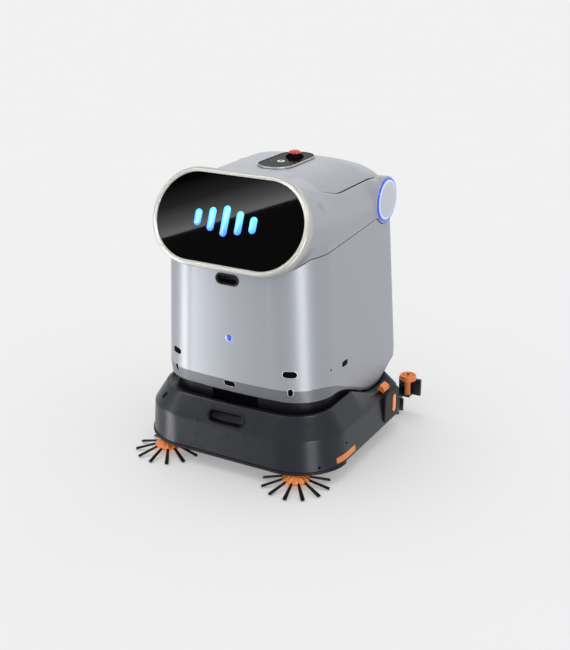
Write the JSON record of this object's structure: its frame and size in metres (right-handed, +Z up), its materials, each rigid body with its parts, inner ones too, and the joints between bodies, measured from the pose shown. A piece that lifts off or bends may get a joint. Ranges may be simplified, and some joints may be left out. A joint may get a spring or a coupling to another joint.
{
  "type": "robotic floor scrubber",
  "caption": "Commercial robotic floor scrubber: skirted base with side brushes, roller brush and lifting squeegee, and a tank body under a hinged display head.",
  "frame": {"origin": "centre of the footprint, on the floor", "axes": "+Z up, the front with the display faces -Y, +X is the robot's own left side"},
  "size_m": [0.566, 0.588, 0.7188],
  "materials": {
    "body_paint": "satin light blue-grey paint",
    "base_plastic": "satin dark slate moulding",
    "black_plastic": "fine-textured black moulding",
    "black_gloss": "polished black",
    "amber_plastic": "satin orange moulding",
    "amber_lens": "ribbed amber lens",
    "steel": "brushed",
    "contact_metal": "polished contact",
    "tank_plastic": "milky translucent moulding",
    "dirty_tank_plastic": "smoked moulding",
    "battery_wrap": "shrink wrapped",
    "board_green": "solder mask",
    "bristle_black": "nylon bristle",
    "bristle_amber": "nylon bristle",
    "rubber": "moulded",
    "tyre": "treaded",
    "bezel_metal": "champagne satin",
    "display_glass": "polished black glass",
    "ear_pearl": "pearl lavender grey",
    "ear_light": "lit light guide",
    "stop_red": "polished red",
    "button_white": "lit ring"
  },
  "bodies": {
    "chassis": {"base_shell": "base_plastic", "chassis_frame": "steel", "bumper_strip": "rubber", "neck_ring": "black_plastic", "lidar_window": "black_gloss", "lidar_sensor": "black_plastic", "body_shell": "body_paint", "rear_cover": "body_paint", "grip_inserts": "black_plastic", "side_strips": "amber_plastic", "tail_light_frames": "black_plastic", "tail_light_lenses": "amber_lens", "side_latches": "amber_plastic", "sensor_windows": "black_gloss", "charging_contacts": "contact_metal", "clean_tank": "tank_plastic", "recovery_tank": "dirty_tank_plastic", "tank_caps": "black_plastic", "battery_pack": "battery_wrap", "vacuum_motor": "black_plastic", "suction_duct": "black_plastic", "water_pump": "steel", "control_board": "board_green", "brush_motor": "black_plastic", "brush_housing": "black_plastic", "drive_belt": "rubber", "wheel_motors": "black_plastic", "side_brush_motors": "black_plastic", "hinge_posts": "steel", "body_screws": "steel"},
    "head": {"head_shell": "body_paint", "top_cover": "body_paint", "display_bezel": "bezel_metal", "display_glass": "display_glass", "control_panel": "black_gloss", "ear_caps": "ear_pearl", "ear_lights": "ear_light", "hinge_pins": "steel"},
    "stop_button": {"e_stop_button": "stop_red"},
    "power_key": {"power_button": "button_white"},
    "side_brush_left": {"side_brush_hub_left": "amber_plastic", "side_brush_tufts_left": "bristle_black"},
    "side_brush_right": {"side_brush_hub_right": "amber_plastic", "side_brush_tufts_right": "bristle_black"},
    "roller_brush": {"roller_core": "steel", "roller_bristles": "bristle_amber", "roller_pulley": "steel"},
    "brush_drive": {"motor_pulley": "steel"},
    "drive_wheel_left": {"drive_hub_left": "steel", "drive_tyre_left": "tyre"},
    "drive_wheel_right": {"drive_hub_right": "steel", "drive_tyre_right": "tyre"},
    "caster_left": {"caster_fork_left": "steel"},
    "caster_right": {"caster_fork_right": "steel"},
    "caster_roll_left": {"caster_wheel_left": "rubber"},
    "caster_roll_right": {"caster_wheel_right": "rubber"},
    "squeegee": {"squeegee_frame": "base_plastic", "squeegee_blades": "rubber"},
    "guide_wheel_left": {"squeegee_wheel_left": "amber_plastic"},
    "guide_wheel_right": {"squeegee_wheel_right": "amber_plastic"}
  },
  "joints": [
    {"name": "head_hinge", "type": "hinge", "parent": "chassis", "child": "head", "pos_m": [0, 0.195, 0.598], "axis": [-1, 0, 0], "range_deg": [0, 50]},
    {"name": "stop_press", "type": "slide", "parent": "head", "child": "stop_button", "axis": [0, 0, -1], "range_m": [0, 0.004], "stiffness_N_per_m": 1200},
    {"name": "power_press", "type": "slide", "parent": "head", "child": "power_key", "axis": [0, 0, -1], "range_m": [0, 0.0012], "stiffness_N_per_m": 900},
    {"name": "side_brush_spin_left", "type": "hinge", "parent": "chassis", "child": "side_brush_left", "pos_m": [0.18, -0.21, 0.03], "axis": [0, 0, 1], "continuous": true},
    {"name": "side_brush_spin_right", "type": "hinge", "parent": "chassis", "child": "side_brush_right", "pos_m": [-0.18, -0.21, 0.03], "axis": [0, 0, 1], "continuous": true},
    {"name": "roller_spin", "type": "hinge", "parent": "chassis", "child": "roller_brush", "pos_m": [0, -0.04, 0.045], "axis": [1, 0, 0], "continuous": true},
    {"name": "brush_drive_spin", "type": "hinge", "parent": "chassis", "child": "brush_drive", "pos_m": [-0.205, -0.04, 0.128], "axis": [1, 0, 0], "continuous": true},
    {"name": "drive_spin_left", "type": "hinge", "parent": "chassis", "child": "drive_wheel_left", "pos_m": [0.215, 0.085, 0.06], "axis": [1, 0, 0], "continuous": true},
    {"name": "drive_spin_right", "type": "hinge", "parent": "chassis", "child": "drive_wheel_right", "pos_m": [-0.215, 0.085, 0.06], "axis": [1, 0, 0], "continuous": true},
    {"name": "caster_swivel_left", "type": "hinge", "parent": "chassis", "child": "caster_left", "pos_m": [0.06, -0.17, 0.06], "axis": [0, 0, 1], "continuous": true},
    {"name": "caster_swivel_right", "type": "hinge", "parent": "chassis", "child": "caster_right", "pos_m": [-0.06, -0.17, 0.06], "axis": [0, 0, 1], "continuous": true},
    {"name": "caster_spin_left", "type": "hinge", "parent": "caster_left", "child": "caster_roll_left", "pos_m": [0.06, -0.156, 0.02], "axis": [1, 0, 0], "continuous": true},
    {"name": "caster_spin_right", "type": "hinge", "parent": "caster_right", "child": "caster_roll_right", "pos_m": [-0.06, -0.156, 0.02], "axis": [1, 0, 0], "continuous": true},
    {"name": "squeegee_lift", "type": "hinge", "parent": "chassis", "child": "squeegee", "pos_m": [0, 0.15, 0.085], "axis": [1, 0, 0], "range_deg": [0, 10]},
    {"name": "guide_spin_left", "type": "hinge", "parent": "squeegee", "child": "guide_wheel_left", "pos_m": [0.254, 0.27, 0.09], "axis": [0, 0, 1], "continuous": true},
    {"name": "guide_spin_right", "type": "hinge", "parent": "squeegee", "child": "guide_wheel_right", "pos_m": [-0.254, 0.27, 0.09], "axis": [0, 0, 1], "continuous": true}
  ],
  "couplings": [
    {"joint": "brush_drive_spin", "follows": "roller_spin", "ratio": 1.5}
  ]
}
